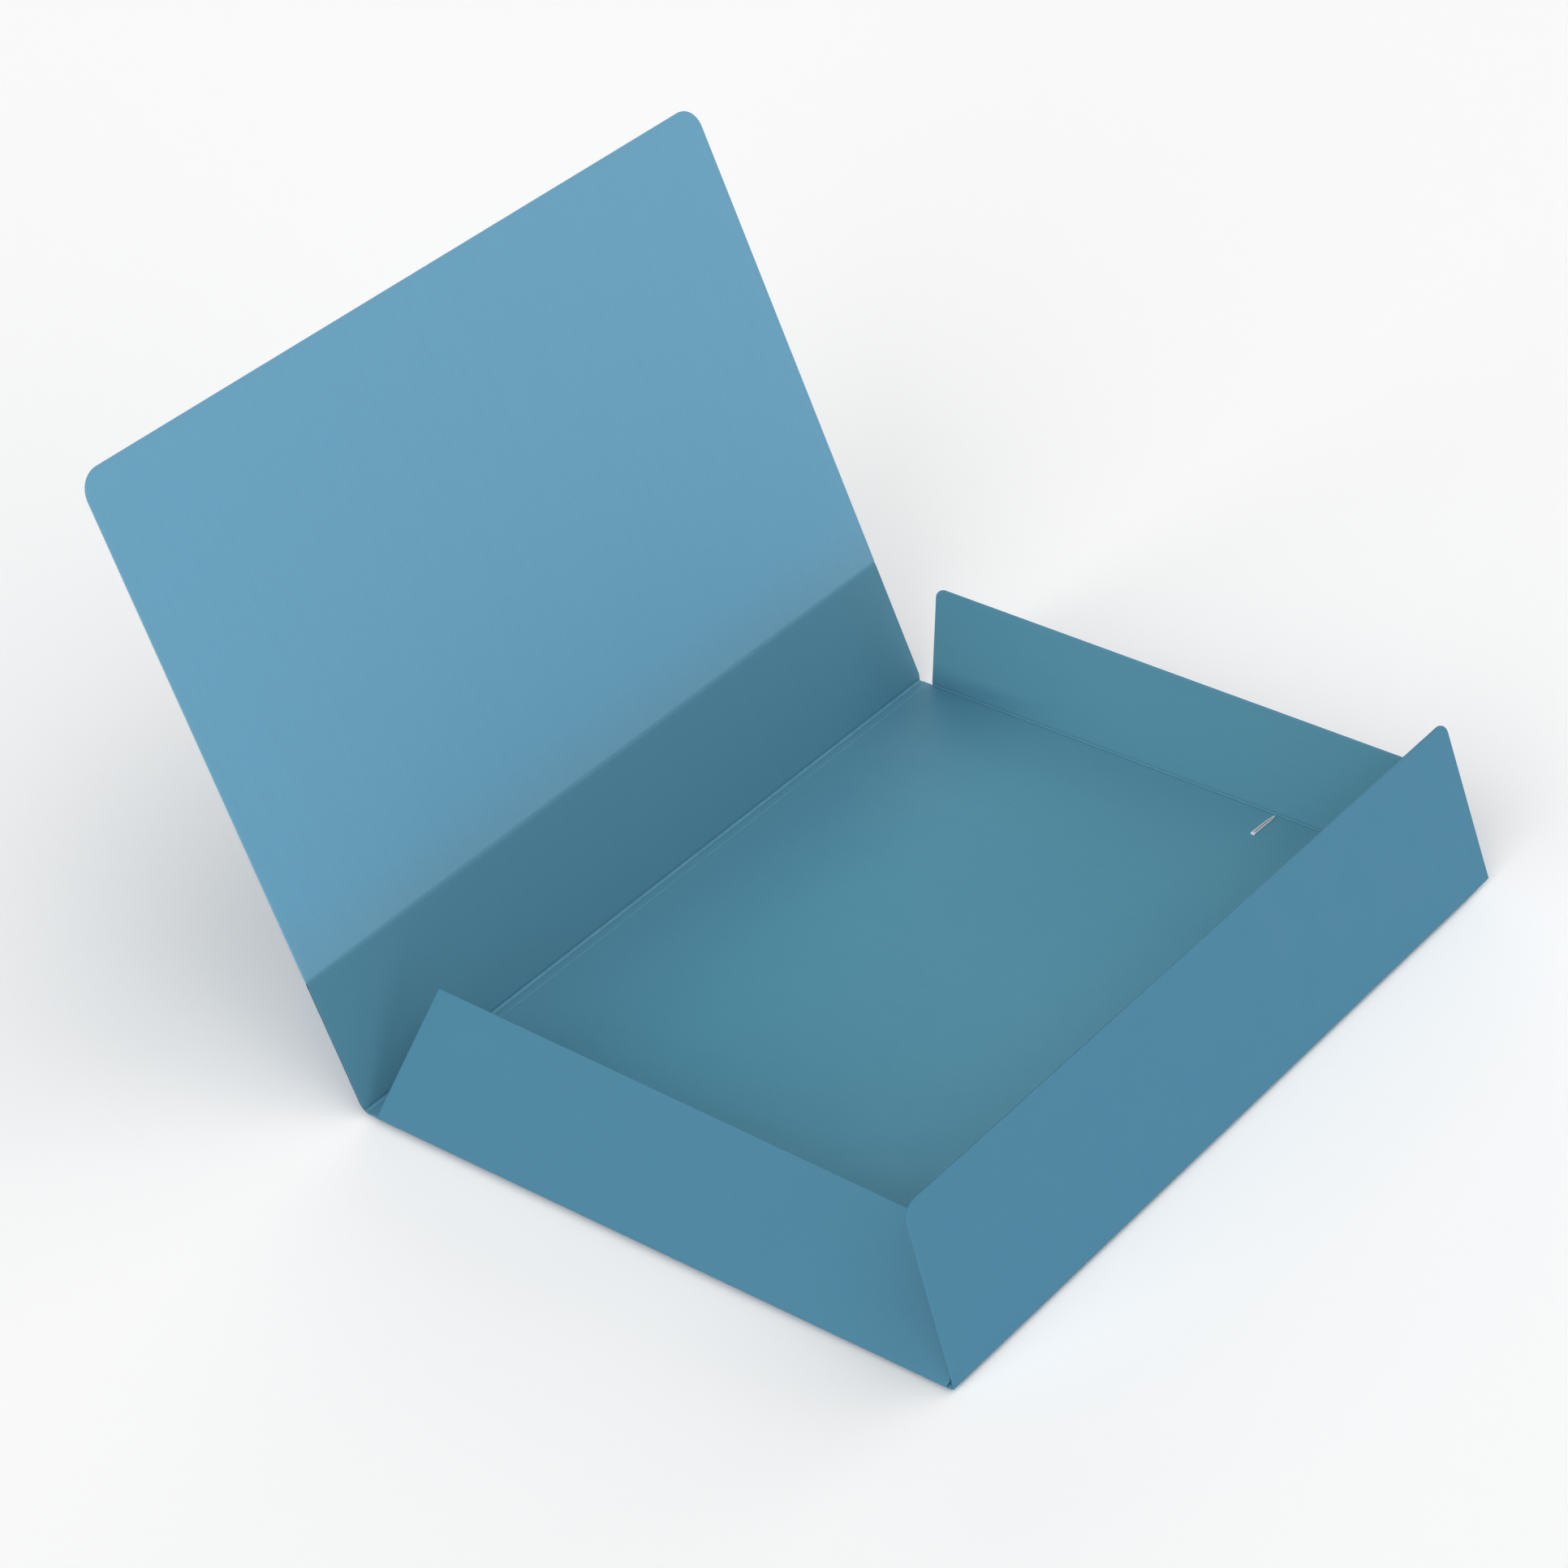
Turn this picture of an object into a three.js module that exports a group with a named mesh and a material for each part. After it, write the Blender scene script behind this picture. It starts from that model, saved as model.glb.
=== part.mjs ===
import * as THREE from 'three';

// An A4 three-flap folder with an elastic closure. It is cut from one plastic sheet, and is drawn
// here as that flat blank, inner face up, with the base in the middle. Each panel then turns about
// its own crease by the angle at which it stands. All lengths are in millimetres and all angles in
// degrees. The origin is the centre of the base's underside, +X points from the spine to the fore
// flap, +Y runs along the spine and +Z is up.

// The sheet and its creases
const SHEET = 0.8;
const CREASE_RADIUS = 0.4;
const CREASE_CLEARANCE = 0.3;
const BASE_WIDTH = 234.4;
const BASE_LENGTH = 309.2;

// The spine and the cover
const SPINE_DEPTH = 48.4;
const COVER_WIDTH = 181.1;
const COVER_OVERHANG = 0.6;
const COVER_CORNER = 8.6;
const SPINE_OPENING = 114.35;

// The two short flaps, which lie just under the cover when the folder is shut round its contents
const HINGE_STRIP = 5.3;
const FLAP_SLANT = 4.8;
const FLAP_CORNER = 3;
const NEAR_FLAP = { opening: 50.6, dropAtSpine: 1.8, dropAtFore: 4.6, spineCorner: 0.5 };
const FAR_FLAP = { opening: 86.4, dropAtSpine: 3.4, dropAtFore: 3.6, spineCorner: 4.5 };

// The fore flap, its ear beyond the far crease, and the relief that lets it lean in further
const FORE_FLAP_HEIGHT = 65.1;
const FORE_FLAP_OPENING = 75.5;
const FORE_FLAP_CORNER = 5.5;
const FORE_FLAP_NEAR_STEP = 0.2;
const FORE_FLAP_EAR = 8;
const FORE_FLAP_LEAN_IN = 3;
const RELIEF_GAP = 1.2;

// The elastic cord and the barbs at its two ends
const CORD_DIAMETER = 1.6;
const CORD_CLEARANCE = 0.1;
const CORD_BEND = 1.5;
const HOLE_CLEARANCE = 0.6;
const CORD_FROM_FORE_CREASE = 80;
const BARB_LENGTH = 14;
const BARB_WIDTH = 1.9;
const BARB_HEIGHT = 1.4;
const BARB_POINT_LENGTH = 3.8;
const BARB_POINT_SIZE = 0.5;
const BARB_TO_CREASE = 1.4;
const BARB_TURN = 4.7;
const BARB_CLEARANCE = 0.1;
const SEAM_WIDTH = 0.5;
const SEAM_DEPTH = 0.55;

// How finely curves are cut
const CORNER_STEPS = 6;
const HOLE_SIDES = 20;
const CREASE_SIDES = 12;
const CORD_SIDES = 8;
const BEND_STEPS = 6;
const RUN_STEPS = 8;

// Where the creases lie on the blank, and how far each panel stays back from its crease
const spineX = -BASE_WIDTH / 2;
const foreX = BASE_WIDTH / 2;
const nearY = -BASE_LENGTH / 2;
const farY = BASE_LENGTH / 2;
const coverX = spineX - SPINE_DEPTH;
const edgeGap = CREASE_RADIUS + CREASE_CLEARANCE;
const coverEnd = BASE_LENGTH / 2 + COVER_OVERHANG;

// Where the cord goes through the base
const cordX = foreX - CORD_FROM_FORE_CREASE;
const cordEndY = farY - BARB_TO_CREASE - BARB_LENGTH / 2;
const cordRadius = CORD_DIAMETER / 2;

const radians = THREE.MathUtils.degToRad;

const sheetMaterial = new THREE.MeshStandardMaterial({ color: 0x649cba, roughness: 0.5, metalness: 0 });
const creaseMaterial = new THREE.MeshStandardMaterial({ color: 0x74abc6, roughness: 0.45, metalness: 0 });
const elasticMaterial = new THREE.MeshStandardMaterial({ color: 0x33647f, roughness: 0.9, metalness: 0 });
const barbMaterial = new THREE.MeshStandardMaterial({ color: 0xc9c7c4, roughness: 0.3, metalness: 1 });

// The points of a circle or of a part of one, both ends included
function arcPoints(centre, radius, from, to, steps) {
  const points = [];
  for (let i = 0; i <= steps; i += 1) {
    const angle = THREE.MathUtils.lerp(from, to, i / steps);
    points.push(new THREE.Vector2(
      centre.x + radius * Math.cos(angle),
      centre.y + radius * Math.sin(angle),
    ));
  }
  return points;
}

// A closed outline, anticlockwise. Each corner is [x, y, radius], with a radius of 0 where it is sharp.
function outline(corners) {
  const points = [];
  corners.forEach(([x, y, radius], i) => {
    const corner = new THREE.Vector2(x, y);
    if (radius === 0) {
      points.push(corner);
      return;
    }
    const [beforeX, beforeY] = corners.at(i - 1);
    const [afterX, afterY] = corners[(i + 1) % corners.length];
    const toBefore = new THREE.Vector2(beforeX, beforeY).sub(corner).normalize();
    const toAfter = new THREE.Vector2(afterX, afterY).sub(corner).normalize();
    const halfAngle = toBefore.angleTo(toAfter) / 2;
    const inward = toBefore.clone().add(toAfter).normalize();
    const centre = corner.clone().addScaledVector(inward, radius / Math.sin(halfAngle));
    const middle = inward.clone().negate().angle();
    const sweep = Math.PI / 2 - halfAngle;
    points.push(...arcPoints(centre, radius, middle - sweep, middle + sweep, CORNER_STEPS));
  });
  return new THREE.Shape(points);
}

function holeAt(x, y) {
  const circle = arcPoints({ x, y }, cordRadius + HOLE_CLEARANCE, 2 * Math.PI, 0, HOLE_SIDES);
  return new THREE.Path(circle.slice(1));
}

function sheetMesh(name, shape) {
  const geometry = new THREE.ExtrudeGeometry(shape, { depth: SHEET, bevelEnabled: false });
  const mesh = new THREE.Mesh(geometry, sheetMaterial);
  mesh.name = name;
  return mesh;
}

// Turns what is drawn on the blank about a crease, which lies in the inner face of the sheet
function foldAbout(x, y, axis, degrees, ...children) {
  const fold = new THREE.Group();
  fold.position.set(x, y, SHEET);
  fold.setRotationFromAxisAngle(axis, radians(degrees));
  const blank = new THREE.Group();
  blank.position.set(-x, -y, -SHEET);
  blank.add(...children);
  fold.add(blank);
  return fold;
}

// The thin bead of plastic that is left along a crease, centred on the line that its panels turn on
function creaseMesh(name, start, end) {
  const length = start.distanceTo(end);
  const bead = new THREE.CylinderGeometry(CREASE_RADIUS, CREASE_RADIUS, length, CREASE_SIDES);
  const mesh = new THREE.Mesh(bead, creaseMaterial);
  mesh.name = name;
  mesh.position.set((start.x + end.x) / 2, (start.y + end.y) / 2, SHEET);
  mesh.rotation.z = end.clone().sub(start).angle() - Math.PI / 2;
  return mesh;
}

// The base ends short of its creases, but its hinge strip runs out between the short flaps' ends
function basePanel() {
  const stripEnd = spineX + HINGE_STRIP - CREASE_CLEARANCE;
  const shape = outline([
    [spineX + edgeGap, nearY, 0],
    [stripEnd, nearY, 0],
    [stripEnd, nearY + edgeGap, 0],
    [foreX - edgeGap, nearY + edgeGap, 0],
    [foreX - edgeGap, farY - edgeGap, 0],
    [stripEnd, farY - edgeGap, 0],
    [stripEnd, farY, 0],
    [spineX + edgeGap, farY, 0],
  ]);
  shape.holes.push(holeAt(cordX, cordEndY), holeAt(cordX, -cordEndY));
  return sheetMesh('base_panel', shape);
}

function spinePanel() {
  return sheetMesh('spine_panel', outline([
    [coverX + edgeGap, -coverEnd, 0],
    [spineX - edgeGap, -coverEnd, 0],
    [spineX - edgeGap, coverEnd, 0],
    [coverX + edgeGap, coverEnd, 0],
  ]));
}

function coverPanel() {
  const freeEdge = coverX - COVER_WIDTH;
  return sheetMesh('cover_panel', outline([
    [freeEdge, -coverEnd, COVER_CORNER],
    [coverX - edgeGap, -coverEnd, 0],
    [coverX - edgeGap, coverEnd, 0],
    [freeEdge, coverEnd, COVER_CORNER],
  ]));
}

// How far a short flap's fore end draws back at a given height, to leave the fore flap its way in
function reliefAt(height) {
  const lean = 90 - FORE_FLAP_OPENING + FORE_FLAP_LEAN_IN;
  return RELIEF_GAP + height * Math.tan(radians(lean));
}

// A short flap on the blank, beyond the crease at creaseY on the side that outward points to
function shortFlap(name, creaseY, outward, flap) {
  const spineHeight = SPINE_DEPTH - flap.dropAtSpine;
  const foreHeight = SPINE_DEPTH - flap.dropAtFore;
  const spineEnd = spineX + HINGE_STRIP;
  const corners = [
    [spineEnd, creaseY + outward * edgeGap, 0],
    [spineEnd + FLAP_SLANT, creaseY + outward * spineHeight, flap.spineCorner],
    [foreX - reliefAt(foreHeight), creaseY + outward * foreHeight, FLAP_CORNER],
    [foreX - reliefAt(edgeGap), creaseY + outward * edgeGap, 0],
  ];
  if (outward > 0) {
    corners.reverse();
  }
  return sheetMesh(name, outline(corners));
}

function foreFlap() {
  const freeEdge = foreX + FORE_FLAP_HEIGHT;
  return sheetMesh('fore_flap', outline([
    [foreX + edgeGap, nearY + FORE_FLAP_NEAR_STEP, 0],
    [freeEdge, nearY - CREASE_RADIUS - SHEET, FORE_FLAP_CORNER],
    [freeEdge, farY + SHEET, FORE_FLAP_CORNER],
    [foreX + edgeGap, farY + FORE_FLAP_EAR, 0],
  ]));
}

// A line through points, on which the steps of a swept tube fall on the points themselves
class Route extends THREE.Curve {
  constructor(points) {
    super();
    this.points = points;
  }

  getPoint(t, target = new THREE.Vector3()) {
    const place = t * (this.points.length - 1);
    const index = Math.min(Math.floor(place), this.points.length - 2);
    return target.lerpVectors(this.points[index], this.points[index + 1], place - index);
  }

  getUtoTmapping(u) {
    return u;
  }
}

// The cord drops from the far barb through the base, runs flat against the underside and comes up
// again under the near barb. Half of its route is drawn, and the other half mirrors it.
function cordRoute() {
  const runZ = -CORD_CLEARANCE - cordRadius;
  const bendCentre = { x: cordEndY - CORD_BEND, y: runZ + CORD_BEND };
  const half = [new THREE.Vector2(cordEndY, SHEET)];
  half.push(...arcPoints(bendCentre, CORD_BEND, 0, -Math.PI / 2, BEND_STEPS));
  const run = [];
  for (let i = 1; i < RUN_STEPS; i += 1) {
    run.push(new THREE.Vector2(THREE.MathUtils.lerp(bendCentre.x, -bendCentre.x, i / RUN_STEPS), runZ));
  }
  const mirrored = half.map((point) => new THREE.Vector2(-point.x, point.y)).reverse();
  return [...half, ...run, ...mirrored].map((point) => new THREE.Vector3(cordX, point.x, point.y));
}

function elasticCord() {
  const points = cordRoute();
  const section = arcPoints({ x: 0, y: 0 }, cordRadius, 0, 2 * Math.PI, CORD_SIDES).slice(1);
  const geometry = new THREE.ExtrudeGeometry(new THREE.Shape(section), {
    steps: points.length - 1,
    extrudePath: new Route(points),
    bevelEnabled: false,
  });
  const mesh = new THREE.Mesh(geometry, elasticMaterial);
  mesh.name = 'elastic_cord';
  return mesh;
}

// A barb's section: a strip folded into a flat tube, with the seam between its lips on top
function barbSection(width, height) {
  const side = width / 2;
  const lip = side * SEAM_WIDTH / BARB_WIDTH;
  const seamFloor = height * (1 - SEAM_DEPTH / BARB_HEIGHT);
  return [
    [-side, 0], [side, 0], [side, 0.6 * height], [0.7 * side, height], [lip, height],
    [0, seamFloor],
    [-lip, height], [-0.7 * side, height], [-side, 0.6 * height],
  ];
}

// A closed solid through sections of equal point counts, each standing across Y at its own place
function loftAlongY(stations) {
  const positions = [];
  const indices = [];
  const count = stations[0].section.length;
  stations.forEach(({ y, section }) => {
    section.forEach(([x, z]) => positions.push(x, y, z));
  });
  for (let s = 0; s < stations.length - 1; s += 1) {
    for (let i = 0; i < count; i += 1) {
      const here = s * count + i;
      const next = s * count + (i + 1) % count;
      indices.push(here, here + count, next, next, here + count, next + count);
    }
  }
  const lastRing = (stations.length - 1) * count;
  const face = stations[0].section.map(([x, z]) => new THREE.Vector2(x, z));
  THREE.ShapeUtils.triangulateShape(face, []).forEach(([a, b, c]) => {
    indices.push(a, b, c);
    indices.push(lastRing + a, lastRing + c, lastRing + b);
  });
  const geometry = new THREE.BufferGeometry();
  geometry.setAttribute('position', new THREE.Float32BufferAttribute(positions, 3));
  geometry.setIndex(indices);
  geometry.computeVertexNormals();
  return geometry;
}

// A barb lies across its hole, a little askew, with its point towards the short flap's crease
function barb(name, outward) {
  const pointStart = BARB_LENGTH / 2 - BARB_POINT_LENGTH;
  const geometry = loftAlongY([
    { y: -BARB_LENGTH / 2, section: barbSection(BARB_WIDTH, BARB_HEIGHT) },
    { y: pointStart, section: barbSection(BARB_WIDTH, BARB_HEIGHT) },
    { y: BARB_LENGTH / 2, section: barbSection(BARB_POINT_SIZE, BARB_POINT_SIZE) },
  ]);
  const mesh = new THREE.Mesh(geometry, barbMaterial);
  mesh.name = name;
  mesh.position.set(cordX, outward * cordEndY, SHEET + BARB_CLEARANCE);
  mesh.rotation.z = (outward > 0 ? 0 : Math.PI) - radians(BARB_TURN);
  return mesh;
}

const alongX = new THREE.Vector3(1, 0, 0);
const alongY = new THREE.Vector3(0, 1, 0);
const at = (x, y) => new THREE.Vector2(x, y);

const coverCrease = creaseMesh('cover_crease', at(coverX, -coverEnd), at(coverX, coverEnd));
const nearFlap = shortFlap('near_flap', nearY, -1, NEAR_FLAP);
const farFlap = shortFlap('far_flap', farY, 1, FAR_FLAP);
const flapStart = spineX + HINGE_STRIP;
const flapEnd = foreX - RELIEF_GAP;

const folder = new THREE.Group();
folder.add(
  basePanel(),
  creaseMesh('spine_crease', at(spineX, nearY), at(spineX, farY)),
  creaseMesh('near_crease', at(flapStart, nearY), at(flapEnd, nearY)),
  creaseMesh('far_crease', at(flapStart, farY), at(flapEnd, farY)),
  creaseMesh('fore_crease', at(foreX, nearY), at(foreX, farY)),
  foldAbout(spineX, 0, alongY, 180 - SPINE_OPENING, spinePanel(), coverCrease, coverPanel()),
  foldAbout(0, nearY, alongX, NEAR_FLAP.opening - 180, nearFlap),
  foldAbout(0, farY, alongX, 180 - FAR_FLAP.opening, farFlap),
  foldAbout(foreX, 0, alongY, FORE_FLAP_OPENING - 180, foreFlap()),
  elasticCord(),
  barb('far_barb', 1),
  barb('near_barb', -1),
);

export default folder;
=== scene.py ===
"""The looks of an A4 three-flap folder with an elastic closure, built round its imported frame.

The folder is one polypropylene sheet. Every panel and every fold is drawn here on the flat blank, in
millimetres, and is then folded up about its crease into the place that the frame gives it. Blank
coordinates are (x, y, w), where w runs through the sheet from its outer face, 0, to its inner face.
"""

import math

import bmesh
import bpy
from mathutils import Matrix, Vector


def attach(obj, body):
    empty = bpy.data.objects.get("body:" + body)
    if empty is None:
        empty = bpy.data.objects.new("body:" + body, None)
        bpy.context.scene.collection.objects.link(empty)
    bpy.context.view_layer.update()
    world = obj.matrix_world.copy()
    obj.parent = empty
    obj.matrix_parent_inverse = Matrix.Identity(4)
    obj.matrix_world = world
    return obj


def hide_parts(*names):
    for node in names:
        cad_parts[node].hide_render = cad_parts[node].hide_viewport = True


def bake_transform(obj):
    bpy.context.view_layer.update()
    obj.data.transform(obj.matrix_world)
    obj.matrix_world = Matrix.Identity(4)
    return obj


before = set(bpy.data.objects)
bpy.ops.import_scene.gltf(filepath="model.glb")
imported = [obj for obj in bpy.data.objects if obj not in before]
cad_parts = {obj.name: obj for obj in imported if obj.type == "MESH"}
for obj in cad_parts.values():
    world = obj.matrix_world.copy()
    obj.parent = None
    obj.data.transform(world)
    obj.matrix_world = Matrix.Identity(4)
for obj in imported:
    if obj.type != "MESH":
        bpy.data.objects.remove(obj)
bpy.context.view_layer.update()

MM = 0.001

# The blank, in millimetres
SHEET = 0.8
BASE_WIDTH = 234.4
BASE_LENGTH = 309.2
SPINE_DEPTH = 48.4
COVER_WIDTH = 181.1
COVER_OVERHANG = 0.6
COVER_CORNER = 8.6
HINGE_STRIP = 5.3
FLAP_SLANT = 4.8
FLAP_CORNER = 3
CREASE_GAP = 0.7
NEAR_FLAP = {"height": 46.6, "fore_height": 43.8, "spine_corner": 0.3}
FAR_FLAP = {"height": 45.0, "fore_height": 44.8, "spine_corner": 4.5}
FORE_FLAP_HEIGHT = 65.1
FORE_FLAP_CORNER = 5.5
FORE_FLAP_NEAR_STEP = 0.2
FORE_FLAP_NEAR_REACH = 1.2
FORE_FLAP_FAR_REACH = 0.8
FORE_FLAP_EAR = 8

# How a short flap's end stays back from the fore flap: at its crease, leaning, and with a small notch
RELIEF_GAP = 0.7
RELIEF_LEAN = 17.5
RELIEF_NOTCH = 1.8
NOTCH_SLANT = 0.35

# How far each panel is folded up from flat, in degrees
SPINE_FOLD = 65.65
NEAR_FOLD = 129.4
FAR_FOLD = 93.6
FORE_FOLD = 104.5

# The cut edges and the second crease line, which is pressed into the base beside the spine
EDGE_ROUND = 0.14
EDGE_SEGMENTS = 2
CORNER_STEPS = 14
SECOND_CREASE = 3.8
GROOVE_HALF = 0.4
GROOVE_DEPTH = 0.08

# How far each fold's strip reaches to both sides of its crease, and from what share of that it is flat
FOLD_HALF = 2.0
SPINE_FOLD_HALF = 2.6
COVER_FOLD_HALF = 2.4
FOLD_FLAT_FROM = 0.72
# A crease's press: distance from the crease, and how deep the outer and the inner face are pressed in
PRESS = [(0.9, 0.0, 0.01), (0.55, 0.02, 0.06), (0.3, 0.09, 0.15), (0.1, 0.17, 0.21)]
# How deep both faces are pressed on the crease itself, where it is bent and where it is straight
BENT_PRESS = (0.2, 0.22)
STRAIGHT_PRESS = (0.06, 0.22)
# How far a bend reaches to both sides of its crease on the blank, and its steps
BEND_HALF = 0.1
BEND_STEPS = 10
SPINE_FOLD_RADIUS = 0.7
# How far before its crease the spine's strip starts to widen from the base's length to the cover's
SPINE_WIDENS = 0.3
# The rounding of a strip's end where the sheet goes on beside it
JOINED_ROUND = 0.004

# The elastic cord, its holes and its barbs
CORD_RADIUS = 0.8
CORD_CLEARANCE = 0.1
CORD_BEND = 1.5
CORD_THROAT = 0.55
CORD_INTO_BARB = 0.2
CORD_X = 37.2
CORD_END_Y = 146.2
CORD_DROP_STEPS = 5
CORD_BEND_STEPS = 8
CORD_SIDES = 24
CORD_STEP = 0.3
BRAID_STRANDS = 8
BRAID_LAY = 4.2
BRAID_DEPTH = 0.09
BRAID_DIP = 0.45
HOLE_RADIUS = 0.72
HOLE_SIDES = 32
BARB_TURN = 2.5
BARB_LIFT = 0.1

# Edges that turn by more than this many degrees stay sharp
PANEL_SHARP = 50
FOLD_SHARP = 40
CORD_SHARP = 60
BARB_SHARP = 48
# How little counts as nothing in a panel's mesh, and how near a cut goes through a point
NEARLY = 1e-3
SNAP = 1e-4

# Where the creases lie on the blank
SPINE_X = -BASE_WIDTH / 2
FORE_X = BASE_WIDTH / 2
NEAR_Y = -BASE_LENGTH / 2
FAR_Y = BASE_LENGTH / 2
COVER_X = SPINE_X - SPINE_DEPTH
COVER_END = BASE_LENGTH / 2 + COVER_OVERHANG
FLAP_START = SPINE_X + HINGE_STRIP
NOTCH_TOP = (RELIEF_NOTCH - RELIEF_GAP) / (NOTCH_SLANT + math.tan(math.radians(RELIEF_LEAN)))
FLOOR_Z = -CORD_CLEARANCE - 2 * CORD_RADIUS


# Materials

def srgb(red, green, blue):
    """A colour given as it shows on screen, from 0 to 255, in linear light."""
    def linear(value):
        value /= 255
        return value / 12.92 if value <= 0.04045 else ((value + 0.055) / 1.055) ** 2.4
    return (linear(red), linear(green), linear(blue), 1.0)


# The sheet's colours as they show on screen; several of them are painted light and shade, lit and shaded
# copies of the one sheet's colour
OUTER_TONE = srgb(65, 123, 150)
# painted shade: the near flap's outer face darker than the fore flap's
SHADED_NEAR_OUTER_TONE = srgb(64, 118, 142)
BASE_TONE = srgb(76, 136, 157)
# painted light: the base lighter towards the far flap, and the far flap's inner face
FAR_LIT_TONE = srgb(90, 144, 162)
# painted shade: the spine panel's inner face and the base beside the spine crease, darker than the base
SHADED_SPINE_TONE = srgb(72, 124, 145)
# painted light: the cover's inner face lighter than the base; below it, painted shade on the cover low by
# its crease
LIT_COVER_TONE = srgb(98, 153, 181)
SHADED_COVER_LOW_TONE = srgb(100, 150, 174)
EDGE_TONE = srgb(66, 118, 142)
# painted shade on the spine's cut edges, painted light on the cover's
SHADED_SPINE_EDGE_TONE = srgb(54, 90, 110)
LIT_COVER_EDGE_TONE = srgb(96, 148, 172)
CREASE_TONE = srgb(108, 162, 186)
# How many millimetres one tone takes to go over into the next: the painted shade beside the spine crease,
# the painted light towards the far flap, how far that painted shade runs onto the short flaps, and the
# painted shade on the cover low by its crease
HINGE_SHADE = 70
FAR_LIGHT_REACH = 110
FLAP_SHADE = 12
COVER_SHADE = 25
# Where w goes over from the outer face to the cut edge, from there to the inner face, and between faces
OUTER_RIM = (0.06, 0.2)
INNER_RIM = (0.74, 0.6)
INNER_FACE = (0.62, 0.78)
# How pale a crease is, from which distance to which, and how patchy
CREASE_PALENESS = 0.24
CREASE_REACH = (0.55, 0.1)
CREASE_PATCHES = (0.35, 0.8)
# Further than any crease's paleness reaches
FAR_AWAY = 100.0
# How much the mottling and the streaks of the extruded sheet lighten and darken it
MOTTLE_SPREAD = (0.975, 1.025)
STREAK_SPREAD = (0.985, 1.015)
STREAK_STRETCH = (0.012, 0.9, 0.9)
SHEET_ROUGHNESS = (0.52, 0.62)
CUT_ROUGHNESS = 0.9
SHEET_IOR = 1.49
SHEET_SPECULAR = 0.25
GRAIN_DEPTH = 0.011
WAVE_DEPTH = 0.12

# painted shade where the braid's threads lie low
THREAD_HOLLOW_SHADE_TONE = srgb(26, 62, 84)
THREAD_TONE = srgb(66, 118, 146)
FIBRE_TONE = srgb(92, 142, 168)
FIBRE_PALENESS = 0.35
FIBRE_STRETCH = (6.0, 2.2, 1.0)
FIBRE_DEPTH = 0.02
THREAD_ROUGHNESS = 0.82
THREAD_SHEEN = 0.25
THREAD_SHEEN_ROUGHNESS = 0.4

BRIGHT_TONE = srgb(245, 243, 241)
# painted shade: dark brown in the seam's groove
SEAM_SHADE_TONE = srgb(112, 76, 58)
BRUSHED_TONE = srgb(210, 206, 204)
# Where the seam's painted shade starts, and where it is full
SEAM_SHADE_SPAN = (0.1, 0.9)
BRUSHED_SHARE = 0.2
BRUSH_STRETCH = (14.0, 0.7, 1.0)
BRUSH_DEPTH = 0.0015
BARB_METAL = 0.3
BARB_ROUGHNESS = (0.34, 0.46)

# Noises: scale to a millimetre, detail and roughness
PATCH_NOISE = (0.35, 3.0, 0.5)
MOTTLE_NOISE = (1.6, 4.0, 0.6)
STREAK_NOISE = (1.0, 3.0, 0.6)
GLOSS_NOISE = (0.06, 4.0, 0.6)
GRAIN_NOISE = (3.4, 3.0, 0.55)
WAVE_NOISE = (0.03, 1.0, 0.5)
FIBRE_NOISE = (2.0, 3.0, 0.5)
BRUSH_NOISE = (1.0, 4.0, 0.6)
# Which values of a noise count as its low and its high end
NOISE_ENDS = (0.25, 0.75)
PATCH_ENDS = (0.3, 0.7)
FIBRE_ENDS = (0.35, 0.7)
BRUSH_ENDS = (0.3, 0.7)


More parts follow.
